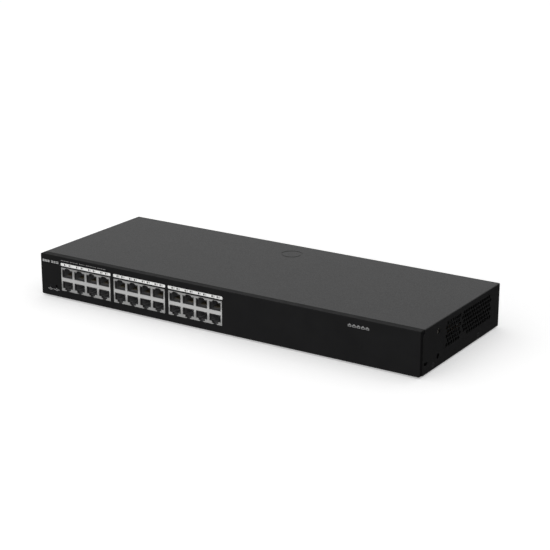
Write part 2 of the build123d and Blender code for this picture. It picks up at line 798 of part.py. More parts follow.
# one of the choke's two windings, turned about the ring's axis
with BuildPart() as choke_winding:
    with BuildSketch(Plane.XZ):
        with Locations((6.25, 0)):
            RectangleRounded(5.5, 8.4, 1.2)
    revolve(axis=Axis.Z, revolution_arc=120)
ring_place = Location(at(choke_x, choke_y, choke_z), (0, 90, 0))
windings = [choke_winding.part.moved(ring_place * Location((0, 0, 0), (0, 0, a))) for a in (30, 210)]

with BuildPart() as mains_choke:
    # ferrite ring on edge with two windings, standing on a small base
    rod_x(choke_y, choke_z, (choke_x - 3, choke_x + 3), 8.0)
    rod_x(choke_y, choke_z, (choke_x - 5, choke_x + 5), 4.5, mode=Mode.SUBTRACT)
    add(windings)
    body_at((choke_x, choke_y), (10.0, 12.0), (board_top, board_top + 1.6))
save(mains_choke, "mains_choke")

with BuildPart() as film_capacitor:
    body_at((396.0, 87.0), (8.0, 18.0), (board_top, board_top + 14))
    fillet(film_capacitor.edges().filter_by(Axis.Z), 0.8)
save(film_capacitor, "film_capacitor")

fuse_at = (409.0, 96.0)
fuse_level = board_top + 5
with BuildPart() as mains_fuse:
    # glass tube between two metal caps in clips
    rod_y(fuse_at[0], fuse_level, (fuse_at[1] - 10, fuse_at[1] + 10), 2.4)
    for cap_y in (fuse_at[1] - 7, fuse_at[1] + 7):
        rod_y(fuse_at[0], fuse_level, (cap_y - 3, cap_y + 3), 2.7)
        body_at((fuse_at[0], cap_y), (5.2, 4.0), (board_top, board_top + 4.5))
save(mains_fuse, "mains_fuse")

bridge_at = (381.0, 87.5)
bridge_lead_pitch = 3.73
with BuildPart() as bridge_rectifier:
    body_at(bridge_at, (4.0, 15.0), (board_top + 3, board_top + 14))
    for lead in range(4):
        lead_at = (bridge_at[0], bridge_at[1] + (lead - 1.5) * bridge_lead_pitch)
        body_at(lead_at, (0.6, 0.8), (board_top, board_top + 3))
    upper_edges = bridge_rectifier.edges().filter_by(Axis.Y).group_by(Axis.Z)[-1]
    chamfer(upper_edges.sort_by(Axis.X)[0], 1.2)
save(bridge_rectifier, "bridge_rectifier")

plate_y = (96.0, 122.0)
plate_thickness = 1.6
plate_top = board_top + 24
plates = [(370.0, 1), (330.0, -1)]
with BuildPart() as psu_heatsinks:
    # folded aluminium plates behind the switching transistor and the output diode
    for plate_x, fold_side in plates:
        half_plate = plate_thickness / 2
        block((plate_x - half_plate, plate_x + half_plate), plate_y, (board_top, plate_top))
        for fold_y in (plate_y[0], plate_y[1] - plate_thickness):
            fold_x = span(plate_x, plate_x + 7 * fold_side)
            block(fold_x, (fold_y, fold_y + plate_thickness), (board_top, plate_top))
save(psu_heatsinks, "psu_heatsinks")

package_y = (101.9, 112.1)
package_lead_pitch = 2.54
with BuildPart() as power_transistors:
    # tab packages standing against the plates: a thin tab with a thicker body on its lower part
    for plate_x, fold_side in plates:
        face_x = plate_x - fold_side * plate_thickness / 2
        tab_x = span(face_x, face_x - fold_side * 1.2)
        body_x = span(face_x, face_x - fold_side * 4.4)
        block(tab_x, package_y, (board_top + 3, board_top + 19))
        block(body_x, package_y, (board_top + 3, board_top + 12))
        for lead in (-1, 0, 1):
            lead_at = (face_x - fold_side * 2.5, sum(package_y) / 2 + package_lead_pitch * lead)
            body_at(lead_at, (0.5, 0.8), (board_top, board_top + 3))
save(power_transistors, "power_transistors")

# connectors that the internal leads plug into
dc_ways = 5
dc_pitch = 2.5
dc_psu_x = 327.0
dc_board_x = 244.0
dc_y = 87.0
dc_header_size = (6.0, 15.0)
mains_plug_x = 404.0
mains_plug_y = 124.0
mains_header_size = (12.0, 8.0)
mains_pitch = 3.96
header_wall = 0.8
header_floor = board_top + 2.0
header_top = board_top + 7.0
plug_top = header_top + 3.0


def header(x, y, size):
    """An open-topped shroud on the board."""
    cavity = (size[0] - 2 * header_wall, size[1] - 2 * header_wall)
    body_at((x, y), size, (board_top, header_top))
    body_at((x, y), cavity, (header_floor, header_top), mode=Mode.SUBTRACT)


def plug(x, y, size):
    """The plug that stands in a shroud, with 0.1 clearance all round."""
    plug_size = (size[0] - 2 * header_wall - 0.2, size[1] - 2 * header_wall - 0.2)
    body_at((x, y), plug_size, (header_floor + 0.1, plug_top))


with BuildPart() as psu_headers:
    header(dc_psu_x, dc_y, dc_header_size)
    header(mains_plug_x, mains_plug_y, mains_header_size)
save(psu_headers, "psu_headers")

with BuildPart() as board_header:
    header(dc_board_x, dc_y, dc_header_size)
save(board_header, "board_header")

with BuildPart() as lead_plugs:
    plug(dc_psu_x, dc_y, dc_header_size)
    plug(dc_board_x, dc_y, dc_header_size)
    plug(mains_plug_x, mains_plug_y, mains_header_size)
save(lead_plugs, "lead_plugs")

# ---------------------------------------------------------------- internal leads
def round_wire(route, radius):
    """Sweep one round wire along straight runs joined by arcs."""
    with BuildPart() as wire:
        with BuildLine():
            path = FilletPolyline(*route, radius=arc_radii(route))
        with BuildSketch(Plane(origin=path @ 0, z_dir=path % 0)):
            Circle(radius)
        sweep(path=path)
    return wire.part


dc_wire_radius = 0.7
dc_wires = []
for way in range(dc_ways):
    way_y = dc_y + (way - (dc_ways - 1) / 2) * dc_pitch
    dc_route = [
        at(dc_psu_x, way_y, plug_top),
        at(dc_psu_x, way_y, plug_top + 9),
        at(dc_psu_x - 16, way_y, plug_top + 13),
        at((dc_psu_x + dc_board_x) / 2, way_y, plug_top + 8),
        at(dc_board_x + 16, way_y, plug_top + 13),
        at(dc_board_x, way_y, plug_top + 9),
        at(dc_board_x, way_y, plug_top),
    ]
    dc_wires.append(round_wire(dc_route, dc_wire_radius))

with BuildPart() as dc_lead:
    add(dc_wires)
save(dc_lead, "dc_lead")

mains_wire_radius = 0.9
inlet_back = tray_rear - inlet_body[2]
tab_length = 7.0
tab_end = inlet_back - tab_length
sleeve_end = tab_end - 2.0
line_pins = [(-7, -2), (7, -2)]
earth_pin = (0, 2)


def tab_sleeve(pin_x, pin_z):
    """The insulated receptacle pushed over one blade of the inlet."""
    centre_x = inlet_x + pin_x
    centre_z = inlet_z + pin_z
    sleeve_z = (centre_z - 3.9, centre_z + 3.9)
    blade_z = (centre_z - 3.1, centre_z + 3.1)
    block((centre_x - 1.5, centre_x + 1.5), (sleeve_end, inlet_back - 0.6), sleeve_z)
    block((centre_x - 0.4, centre_x + 0.4), (tab_end, inlet_back), blade_z, mode=Mode.SUBTRACT)


mains_wires = []
for side, (pin_x, pin_z) in zip((-1, 1), line_pins):
    plug_way_x = mains_plug_x + mains_pitch / 2 * side
    mains_route = [
        at(inlet_x + pin_x, sleeve_end, inlet_z + pin_z),
        at(inlet_x + pin_x, sleeve_end - 4, inlet_z + pin_z),
        at(inlet_x + pin_x + 5, mains_plug_y, inlet_z + 2 + 3 * side),
        at(plug_way_x, mains_plug_y, plug_top + 9),
        at(plug_way_x, mains_plug_y, plug_top),
    ]
    mains_wires.append(round_wire(mains_route, mains_wire_radius))

with BuildPart() as mains_lead:
    add(mains_wires)
    for pin_x, pin_z in line_pins:
        tab_sleeve(pin_x, pin_z)
save(mains_lead, "mains_lead")

ring_rear = tray_rear - sheet
barrel_front = ring_rear - 5.0
barrel_rise = 5.8
earth_route = [
    at(inlet_x, sleeve_end, inlet_z + 2),
    at(inlet_x, sleeve_end - 3, inlet_z + 2),
    at(inlet_x - 4, sleeve_end - 3, inlet_z + 12),
    at(inlet_x - 19, sleeve_end + 2, inlet_z + 13),
    at(ground_x + 5, sleeve_end + 9, inlet_z + 8),
    at(ground_x, barrel_front - 8, ground_z + barrel_rise),
    at(ground_x, barrel_front, ground_z + barrel_rise),
]
earth_wire = round_wire(earth_route, mains_wire_radius)

with BuildPart() as earth_lead:
    add(earth_wire)
    tab_sleeve(*earth_pin)
save(earth_lead, "earth_lead")

# ---------------------------------------------------------------- mains inlet
flange_outer = tray_rear + inlet_flange[2]
with BuildPart() as mains_inlet:
    with BuildSketch(front_plane(inlet_x, tray_rear, inlet_z)):
        RectangleRounded(inlet_flange[0], inlet_flange[1], 2.5)
    extrude(amount=-inlet_flange[2])
    chamfer(mains_inlet.faces().sort_by(Axis.Y)[-1].edges(), 0.4)
    block(
        (inlet_x - inlet_body[0] / 2, inlet_x + inlet_body[0] / 2),
        (inlet_back, tray_rear),
        (inlet_z - inlet_body[1] / 2, inlet_z + inlet_body[1] / 2),
    )
    # plug cavity with its two upper corners cut off
    with BuildSketch(front_plane(inlet_x, flange_outer, inlet_z)):
        half_x = inlet_cavity[0] / 2
        half_z = inlet_cavity[1] / 2
        with BuildLine():
            Polyline(
                (-half_x, -half_z),
                (half_x, -half_z),
                (half_x, half_z - inlet_cut_corner),
                (half_x - inlet_cut_corner, half_z),
                (inlet_cut_corner - half_x, half_z),
                (-half_x, half_z - inlet_cut_corner),
                close=True,
            )
        make_face()
    extrude(amount=inlet_cavity[2], mode=Mode.SUBTRACT)
    for screw_x in (inlet_x - inlet_screw_spacing / 2, inlet_x + inlet_screw_spacing / 2):
        cone_tip(at(screw_x, flange_outer, inlet_z), (-90, 0, 0), mode=Mode.SUBTRACT)
        rod_y(screw_x, inlet_z, (tray_rear, flange_outer), screw_radius, mode=Mode.SUBTRACT)
    # bores for the pins
    cavity_floor = flange_outer - inlet_cavity[2]
    for pin_x, pin_z in line_pins + [earth_pin]:
        block(
            (inlet_x + pin_x - 1, inlet_x + pin_x + 1),
            (inlet_back - 1, cavity_floor + 1),
            (inlet_z + pin_z - 2, inlet_z + pin_z + 2),
            mode=Mode.SUBTRACT,
        )
save(mains_inlet, "mains_inlet")

with BuildPart() as inlet_pins:
    for pin_x, pin_z in line_pins + [earth_pin]:
        block(
            (inlet_x + pin_x - 1, inlet_x + pin_x + 1),
            (inlet_back, flange_outer - 3),
            (inlet_z + pin_z - 2, inlet_z + pin_z + 2),
        )
        block(
            (inlet_x + pin_x - 0.4, inlet_x + pin_x + 0.4),
            (tab_end, inlet_back),
            (inlet_z + pin_z - 3.1, inlet_z + pin_z + 3.1),
        )
    chamfer(inlet_pins.faces().group_by(Axis.Y)[-1].edges(), 0.5)
save(inlet_pins, "inlet_pins")

with BuildPart() as inlet_screws:
    for screw_x in (inlet_x - inlet_screw_spacing / 2, inlet_x + inlet_screw_spacing / 2):
        cone_tip(at(screw_x, flange_outer, inlet_z), (-90, 0, 0))
        rod_y(screw_x, inlet_z, (tray_rear - 7, flange_outer - 0.5), screw_radius)
        with BuildSketch(front_plane(screw_x, tray_rear - sheet, inlet_z)):
            RegularPolygon(2.75, 6, major_radius=False)
        extrude(amount=2.4)
        for arm in ((1.9, 0.5), (0.5, 1.9)):
            with Locations(at(screw_x, flange_outer, inlet_z)):
                Box(arm[0], 1.4, arm[1], mode=Mode.SUBTRACT)
save(inlet_screws, "inlet_screws")

with BuildPart() as ground_screw:
    # pan-head earth screw with a serrated washer outside, and its ring terminal and nut inside
    head_face = depth + rear_proud
    rod_y(ground_x, ground_z, (tray_rear, tray_rear + 0.8), 4.4)
    rod_y(ground_x, ground_z, (tray_rear + 0.8, head_face), 3.9)
    fillet(ground_screw.edges().filter_by(GeomType.CIRCLE).group_by(Axis.Y)[-1], 0.8)
    rod_y(ground_x, ground_z, (tray_rear - 9, tray_rear), 2.0)
    for arm in ((4.2, 0.9), (0.9, 4.2)):
        with Locations(at(ground_x, head_face, ground_z)):
            Box(arm[0], 3.0, arm[1], mode=Mode.SUBTRACT)
save(ground_screw, "ground_screw")

with BuildPart() as ground_terminal:
    rod_y(ground_x, ground_z, (ring_rear - 0.8, ring_rear), 4.0)
    block((ground_x - 2, ground_x + 2), (ring_rear - 0.8, ring_rear), (ground_z, ground_z + 6))
    block((ground_x - 1.6, ground_x + 1.6), (barrel_front, ring_rear), (ground_z + 4.2, ground_z + 7.4))
    with BuildSketch(front_plane(ground_x, ring_rear - 0.8, ground_z)):
        RegularPolygon(3.5, 6, major_radius=False)
    extrude(amount=3.0)
    rod_y(ground_x, ground_z, (ring_rear - 5.2, ring_rear), 2.0, mode=Mode.SUBTRACT)
save(ground_terminal, "ground_terminal")

# ---------------------------------------------------------------- feet
feet_at = [(x, y) for x in (25, width - 25) for y in (18, depth - 18)]
with BuildPart() as rubber_feet:
    for foot_x, foot_y in feet_at:
        post(foot_x, foot_y, (-foot_height, 0), foot_radius)
    chamfer(rubber_feet.edges().group_by(Axis.Z)[0], 0.4)
save(rubber_feet, "rubber_feet")
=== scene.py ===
import json
import math

import bmesh
import bpy
from mathutils import Matrix, Vector


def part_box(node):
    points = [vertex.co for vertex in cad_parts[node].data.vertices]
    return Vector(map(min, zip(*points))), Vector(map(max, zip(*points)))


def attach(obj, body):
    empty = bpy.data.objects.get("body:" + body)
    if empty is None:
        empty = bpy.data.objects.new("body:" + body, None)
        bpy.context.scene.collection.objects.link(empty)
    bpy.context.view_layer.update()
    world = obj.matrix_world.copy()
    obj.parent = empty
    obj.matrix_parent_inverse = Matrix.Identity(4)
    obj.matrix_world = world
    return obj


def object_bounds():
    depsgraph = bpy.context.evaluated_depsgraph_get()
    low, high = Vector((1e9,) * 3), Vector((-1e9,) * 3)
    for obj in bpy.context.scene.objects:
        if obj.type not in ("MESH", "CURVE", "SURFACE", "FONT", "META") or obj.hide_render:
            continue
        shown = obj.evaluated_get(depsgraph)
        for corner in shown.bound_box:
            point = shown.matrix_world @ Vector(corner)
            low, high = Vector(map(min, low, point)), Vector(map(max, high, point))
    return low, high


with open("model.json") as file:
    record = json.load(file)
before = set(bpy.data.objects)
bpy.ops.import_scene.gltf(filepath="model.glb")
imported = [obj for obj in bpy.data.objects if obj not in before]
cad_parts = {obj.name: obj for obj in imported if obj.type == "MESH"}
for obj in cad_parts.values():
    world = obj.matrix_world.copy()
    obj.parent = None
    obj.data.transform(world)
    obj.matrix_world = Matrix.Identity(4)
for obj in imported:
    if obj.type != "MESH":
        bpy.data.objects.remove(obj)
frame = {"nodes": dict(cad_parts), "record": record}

MM = 0.001
PRINT = 0.05  # thickness of an ink film, in millimetres

# ---------------------------------------------------------------- places on the chassis
cad_low, cad_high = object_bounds()
switch_middle = (cad_low + cad_high) / 2
chassis_left = cad_low.x
chassis_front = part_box("front_bezel")[0].y
chassis_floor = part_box("top_cover")[0].z
housing_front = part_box("jack_housing_1")[0].y
shield_low, shield_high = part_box("jack_shield_1")
shield_middle = (shield_low.z + shield_high.z) / 2


def facing(origin, right, up):
    """Matrix that lays a drawing's x along right and its y along up."""
    right, up = Vector(right), Vector(up)
    out = right.cross(up)
    turn = Matrix((right, up, out)).transposed().to_4x4()
    return Matrix.Translation(origin) @ turn


ON_FRONT = facing((chassis_left, chassis_front, chassis_floor), (1, 0, 0), (0, 0, 1))


# ---------------------------------------------------------------- materials
UPWARD = 0.9  # least upward lean of a face that counts as a top
GRAIN_SQUASH = 0.06  # how much rolling draws a sheet's grain out
UNSHADED_BAND = 2.2  # half height of the band between the rows that gets no painted shade on a jack shield
FULL_SHADE_DISTANCE = 6.5  # where the painted shade on the shield reaches full strength
SHADE_SHARE = 0.62  # colour left there under the painted shade
PAINTED_LIGHT_DEPTHS = (0.5, 3.0)  # where the painted light inside a socket starts and ends


def map_range(tree, output, low, high, start, end):
    """Node that maps a value's start to end onto low to high."""
    node = tree.nodes.new("ShaderNodeMapRange")
    settings = {"From Min": start, "From Max": end, "To Min": low, "To Max": high}
    for socket, value in settings.items():
        node.inputs[socket].default_value = value
    tree.links.new(output, node.inputs["Value"])
    return node.outputs["Result"]


class Surface:
    """One material: a principled shader and the nodes that vary it over the surface."""

    def __init__(self, name, color, roughness, metallic=0.0, specular=0.5):
        self.material = bpy.data.materials.new(name)
        self.material.use_nodes = True
        self.tree = self.material.node_tree
        self.nodes = self.tree.nodes
        self.links = self.tree.links
        self.shader = self.nodes["Principled BSDF"]
        self.color = color
        self.set("Base Color", (*color, 1))
        self.set("Roughness", roughness)
        self.set("Metallic", metallic)
        self.set("Specular IOR Level", specular)
        self.place = self.nodes.new("ShaderNodeTexCoord").outputs["Object"]
        self.height = None

    def set(self, socket, value):
        self.shader.inputs[socket].default_value = value

    def link(self, output, socket):
        self.links.new(output, self.shader.inputs[socket])

    def stretched(self, scale):
        """Surface coordinates stretched by a factor along each axis."""
        node = self.nodes.new("ShaderNodeMapping")
        node.inputs["Scale"].default_value = scale
        self.links.new(self.place, node.inputs["Vector"])
        return node.outputs["Vector"]

    def noise(self, size, detail=3.0, place=None):
        """Cloudy noise whose features are about size millimetres across."""
        node = self.nodes.new("ShaderNodeTexNoise")
        node.inputs["Scale"].default_value = 1 / (size * MM)
        node.inputs["Detail"].default_value = detail
        self.links.new(place or self.place, node.inputs["Vector"])
        return node.outputs["Fac"]

    def cells(self, size, place=None):
        """Distance to the middle of round cells about size millimetres across."""
        node = self.nodes.new("ShaderNodeTexVoronoi")
        node.inputs["Scale"].default_value = 1 / (size * MM)
        self.links.new(place or self.place, node.inputs["Vector"])
        return node.outputs["Distance"]

    def spread(self, output, low, high, start=0.3, end=0.7):
        """Map a value's start to end onto low to high."""
        return map_range(self.tree, output, low, high, start, end)

    def tint(self, factor, first, second):
        """Blend two colours by a factor."""
        node = self.nodes.new("ShaderNodeMix")
        node.data_type = "RGBA"
        node.inputs["A"].default_value = (*first, 1)
        node.inputs["B"].default_value = (*second, 1)
        self.links.new(factor, node.inputs["Factor"])
        return node.outputs["Result"]

    def math(self, operation, first, second):
        """Work out an operation on two values, each a number or an output."""
        node = self.nodes.new("ShaderNodeMath")
        node.operation = operation
        for socket, value in zip(node.inputs, (first, second)):
            if isinstance(value, (int, float)):
                socket.default_value = value
            else:
                self.links.new(value, socket)
        return node.outputs["Value"]

    def axis(self, letter):
        """One coordinate of the surface point, in metres."""
        node = self.nodes.new("ShaderNodeSeparateXYZ")
        self.links.new(self.place, node.inputs["Vector"])
        return node.outputs[letter]

    def facing_up(self):
        """One on faces that look up, nought elsewhere."""
        geometry = self.nodes.new("ShaderNodeNewGeometry")
        split = self.nodes.new("ShaderNodeSeparateXYZ")
        self.links.new(geometry.outputs["True Normal"], split.inputs["Vector"])
        return self.math("GREATER_THAN", split.outputs["Z"], UPWARD)

    def vary_color(self, factor, amount):
        """Lighten and darken the base colour by a share of itself."""
        darker = tuple(c * (1 - amount) for c in self.color)
        lighter = tuple(min(1, c * (1 + amount)) for c in self.color)
        self.link(self.tint(factor, darker, lighter), "Base Color")

    def bump(self, output, depth, strength=1.0):
        """Raise the surface by up to depth millimetres where the value is one."""
        node = self.nodes.new("ShaderNodeBump")
        node.inputs["Strength"].default_value = strength
        node.inputs["Distance"].default_value = depth * MM
        self.links.new(output, node.inputs["Height"])
        if self.height:
            self.links.new(self.height, node.inputs["Normal"])
        self.height = node.outputs["Normal"]
        self.link(self.height, "Normal")


def powder_coat(name, color, roughness, specular):
    """Fine-textured powder coat: sandy grains over a slow orange-peel swell."""
    surface = Surface(name, color, roughness, specular=specular)
    grain = surface.noise(0.35, detail=5)
    surface.bump(surface.noise(2.2, detail=2), 0.02, 0.5)
    surface.bump(grain, 0.03, 0.6)
    uneven = surface.spread(surface.noise(0.7), roughness - 0.07, roughness + 0.08)
    surface.link(uneven, "Roughness")
    surface.vary_color(surface.spread(surface.noise(28, detail=6), 0, 1), 0.1)
    return surface.material


def moulding(name, color, roughness, specular=0.4, grain=0.25):
    """Injection-moulded plastic with a spark-eroded grain."""
    surface = Surface(name, color, roughness, specular=specular)
    surface.bump(surface.noise(grain, detail=4), 0.012, 0.5)
    uneven = surface.spread(surface.noise(9, detail=4), roughness - 0.04, roughness + 0.05)
    surface.link(uneven, "Roughness")
    surface.vary_color(surface.spread(surface.noise(20), 0, 1), 0.08)
    return surface.material


def sheet_metal(name, color, roughness, along="X", metallic=1.0):
    """Rolled and plated sheet with a fine grain along one axis and faint cloudy stains."""
    surface = Surface(name, color, roughness, metallic=metallic)
    squash = tuple(GRAIN_SQUASH if letter == along else 1 for letter in "XYZ")
    streaks = surface.noise(0.25, detail=4, place=surface.stretched(squash))
    surface.bump(streaks, 0.004, 0.5)
    surface.link(surface.spread(streaks, roughness - 0.06, roughness + 0.1), "Roughness")
    surface.vary_color(surface.spread(surface.noise(6, detail=5), 0, 1), 0.09)
    return surface.material


def jack_shield(name, color):
    """Nickel-plated jack shield, darkened by painted shade away from the band between the two
    rows.
    """
    surface = Surface(name, color, 0.5, metallic=0.75)
    streaks = surface.noise(0.25, detail=4, place=surface.stretched((GRAIN_SQUASH, 1, 1)))
    surface.bump(streaks, 0.004, 0.5)
    surface.link(surface.spread(streaks, 0.44, 0.6), "Roughness")
    # Painted shade: the shield's colour darkens from the band between the rows out towards its
    # upper and lower edges.
    above_middle = surface.math("SUBTRACT", surface.axis("Z"), shield_middle)
    off_middle = surface.math("ABSOLUTE", above_middle, 0)
    painted_shade = surface.spread(off_middle, 0, 1, UNSHADED_BAND * MM, FULL_SHADE_DISTANCE * MM)
    # Faint cloudy stains, mixed in together with the painted shade.
    clouds = surface.math("MULTIPLY", surface.noise(6, detail=5), 0.25)
    shaded_color = tuple(SHADE_SHARE * c for c in color)
    surface.link(surface.tint(surface.math("ADD", clouds, painted_shade), color, shaded_color), "Base Color")
    return surface.material


def jack_moulding(name, rim_color, painted_light_color):
    """Jack housing: black plastic at its front face, with painted light making it paler deeper
    inside the sockets.
    """
    surface = Surface(name, rim_color, 0.5, specular=0.3)
    first, last = (housing_front + depth * MM for depth in PAINTED_LIGHT_DEPTHS)
    # Painted light: the inside of each socket is tinted paler than the black plastic, more so
    # deeper in.
    painted_light = surface.spread(surface.axis("Y"), 0, 1, first, last)
    surface.link(surface.tint(painted_light, rim_color, painted_light_color), "Base Color")
    surface.bump(surface.noise(0.25, detail=4), 0.012, 0.5)
    surface.link(surface.spread(surface.noise(9, detail=4), 0.46, 0.55), "Roughness")
    return surface.material


def ink(name, color):
    """Silk-screened ink: slightly uneven film."""
    surface = Surface(name, color, 0.55, specular=0.3)
    surface.bump(surface.noise(0.3, detail=4), 0.008, 0.4)
    surface.link(surface.spread(surface.noise(1.4), 0.48, 0.66), "Roughness")
    surface.vary_color(surface.spread(surface.noise(2.5, detail=5), 0, 1), 0.05)
    return surface.material


def clear_guide(name):
    """Unlit clear polycarbonate light guide in front of a dark case."""
    surface = Surface(name, (0.02, 0.021, 0.022), 0.3, specular=0.1)
    surface.bump(surface.noise(1.2), 0.006, 0.4)
    surface.link(surface.spread(surface.noise(3), 0.16, 0.3), "Roughness")
    return surface.material


def solder_mask(name, color, track_color):
    """Circuit board: solder mask over tracks that run in both directions, with round lands."""
    surface = Surface(name, color, 0.35, specular=0.5)
    across = surface.noise(1.1, detail=0, place=surface.stretched((0.08, 1, 1)))
    along = surface.noise(1.1, detail=0, place=surface.stretched((1, 0.08, 1)))
    tracks = surface.math("GREATER_THAN", surface.math("MAXIMUM", across, along), 0.6)
    lands = surface.math("LESS_THAN", surface.cells(5.5), 0.09)
    copper = surface.math("MAXIMUM", tracks, lands)
    surface.link(surface.tint(copper, color, track_color), "Base Color")
    surface.bump(copper, 0.03, 0.6)
    surface.link(surface.spread(surface.noise(4), 0.28, 0.42), "Roughness")
    return surface.material


def can_capacitor(name, sleeve):
    """Electrolytic capacitor: sleeved can with a bare aluminium top."""
    surface = Surface(name, sleeve, 0.3, specular=0.5)
    top = surface.facing_up()
    surface.link(surface.tint(top, sleeve, (0.78, 0.78, 0.79)), "Base Color")
    surface.link(top, "Metallic")
    surface.bump(surface.noise(0.8), 0.01, 0.4)
    surface.link(surface.spread(surface.noise(2.5), 0.24, 0.38), "Roughness")
    return surface.material


def wound_wire(name, color, pitch):
    """Layers of round wire or tape wound side by side."""
    surface = Surface(name, color, 0.35, specular=0.5)
    angle = surface.math("MULTIPLY", surface.axis("Z"), 2 * math.pi / (pitch * MM))
    turns = surface.math("SINE", angle, 0)
    surface.bump(surface.spread(turns, 0, 1, -1, 1), 0.12, 0.8)
    surface.link(surface.spread(surface.noise(3), 0.28, 0.45), "Roughness")
    # Painted shade: the colour darkens in the grooves between turns and lightens on the crests, in
    # step with the bump.
    surface.vary_color(surface.spread(turns, 0, 1, -1, 1), 0.2)
    return surface.material


def fired(name, color, roughness, grain=0.4):
    """Pressed and fired ceramic or ferrite with a gritty skin."""
    surface = Surface(name, color, roughness, specular=0.4)
    surface.bump(surface.cells(grain), 0.02, 0.6)
    surface.link(surface.spread(surface.noise(2), roughness - 0.08, roughness + 0.08), "Roughness")
    surface.vary_color(surface.spread(surface.noise(1.2, detail=5), 0, 1), 0.15)
    return surface.material


def moulded_chip(name):
    """Epoxy chip package, laser-blasted top."""
    surface = Surface(name, (0.022, 0.022, 0.024), 0.6, specular=0.4)
    surface.bump(surface.cells(0.18), 0.015, 0.5)
    surface.link(surface.spread(surface.noise(1.5), 0.5, 0.72), "Roughness")
    surface.vary_color(surface.spread(surface.noise(5, detail=5), 0, 1), 0.2)
    return surface.material


LOOKS = {
    "black_steel": powder_coat("black_powder_coat", (0.0115, 0.0115, 0.012), 0.5, 0.36),
    "black_bezel": moulding(
        "black_bezel_moulding", (0.0125, 0.0125, 0.0129), 0.42, specular=0.02
    ),
    "black_screw": sheet_metal(
        "black_passivated_steel", (0.12, 0.12, 0.125), 0.38, metallic=0.85
    ),
    "nickel_shield": jack_shield("nickel_plated_sheet", (0.54, 0.54, 0.535)),
    # The first colour is the black moulding; the second is painted light inside the sockets.
    "black_moulding": jack_moulding(
        "black_jack_moulding", (0.025, 0.025, 0.026), (0.2, 0.2, 0.205)
    ),
    "gold_contact": sheet_metal(
        "dull_gold_flash", (0.13, 0.11, 0.075), 0.5, along="Y", metallic=0.6
    ),
    "clear_guide": clear_guide("clear_light_guide"),
    "lamp_body": moulding("diffused_lamp_resin", (0.8, 0.8, 0.74), 0.3),
    "board_green": solder_mask(
        "green_solder_mask", (0.006, 0.06, 0.022), (0.02, 0.12, 0.045)
    ),
    "board_tan": solder_mask(
        "brown_phenolic_board", (0.05, 0.03, 0.014), (0.09, 0.055, 0.025)
    ),
    "zinc_steel": sheet_metal("bright_zinc", (0.68, 0.69, 0.71), 0.3),
    "chip_black": moulded_chip("chip_moulding"),
    "heatsink_aluminium": sheet_metal(
        "black_anodised_fins", (0.03, 0.03, 0.032), 0.45, metallic=0.4
    ),
    "plate_aluminium": sheet_metal("mill_aluminium", (0.78, 0.79, 0.8), 0.34, along="Z"),
    "crystal_can": sheet_metal("crystal_can", (0.75, 0.74, 0.72), 0.25),
    "ferrite": fired("ground_ferrite", (0.035, 0.033, 0.034), 0.55),
    "capacitor_sleeve": can_capacitor("sleeved_can", (0.012, 0.014, 0.03)),
    "ceramic_chip": fired("chip_ceramic", (0.36, 0.24, 0.13), 0.4),
    "clear_film": moulding("dark_insulating_film", (0.02, 0.02, 0.022), 0.35),
    "winding_tape": wound_wire("amber_winding_tape", (0.06, 0.036, 0.01), 2.4),
    "film_capacitor_case": moulding("grey_capacitor_case", (0.045, 0.045, 0.047), 0.4),
    "fuse_ceramic": fired("glazed_fuse_tube", (0.72, 0.7, 0.64), 0.25),
    "connector_white": moulding("grey_nylon", (0.1, 0.1, 0.095), 0.4),
    "dc_wire": moulding("black_wire_insulation", (0.015, 0.015, 0.015), 0.4),
    "mains_wire": moulding("brown_wire_insulation", (0.13, 0.05, 0.02), 0.4),
    "earth_wire": moulding("green_wire_insulation", (0.08, 0.32, 0.04), 0.4),
    "switch_button": moulding("switch_plunger", (0.03, 0.03, 0.03), 0.45),
    "foot_rubber": moulding(
        "foot_rubber", (0.014, 0.014, 0.014), 0.75, specular=0.25, grain=0.5
    ),
}
INK_WHITE = ink("white_ink", (0.8, 0.8, 0.79))
INK_GREY = ink("grey_ink", (0.42, 0.42, 0.42))
INK_SOFT = ink("soft_grey_ink", (0.27, 0.27, 0.27))
INK_DIM = ink("dim_ink", (0.2, 0.2, 0.2))
INK_NUMBER = ink("number_ink", (0.1, 0.1, 0.102))

for part in frame["record"]["subparts"]:
    solid = frame["nodes"][part["node"]]
    solid.data.materials.clear()
    solid.data.materials.append(LOOKS[part["material_slot"]])


# ---------------------------------------------------------------- drawing helpers
def finish_piece(name, mesh, material, body="root"):
    """Make an object of a mesh, and let it ride on a body."""
    mesh.materials.append(material)
    piece = bpy.data.objects.new(name, mesh)
    bpy.context.scene.collection.objects.link(piece)
    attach(piece, body)
    return piece


def rectangle(left, bottom, right, top, radius=0.0, steps=5):
    """A rectangle's outline, anticlockwise, with rounded corners."""
    if not radius:
        return [(left, bottom), (right, bottom), (right, top), (left, top)]
    corners = ((right, bottom, -90), (right, top, 0), (left, top, 90), (left, bottom, 180))
    points = []
    for x, y, start in corners:
        centre_x = x - radius if x == right else x + radius
        centre_y = y - radius if y == top else y + radius
        for step in range(steps + 1):
            angle = math.radians(start + 90 * step / steps)
            across, up = radius * math.cos(angle), radius * math.sin(angle)
            points.append((centre_x + across, centre_y + up))
    return points


def arc_band(x, y, inner, outer, start, end, steps=28):
    """A ring's stretch between two angles in degrees, as one outline."""
    angles = [math.radians(start + (end - start) * i / steps) for i in range(steps + 1)]
    outside = [(x + outer * math.cos(a), y + outer * math.sin(a)) for a in angles]
    painted_light = [(x + inner * math.cos(a), y + inner * math.sin(a)) for a in reversed(angles)]
    return outside + painted_light


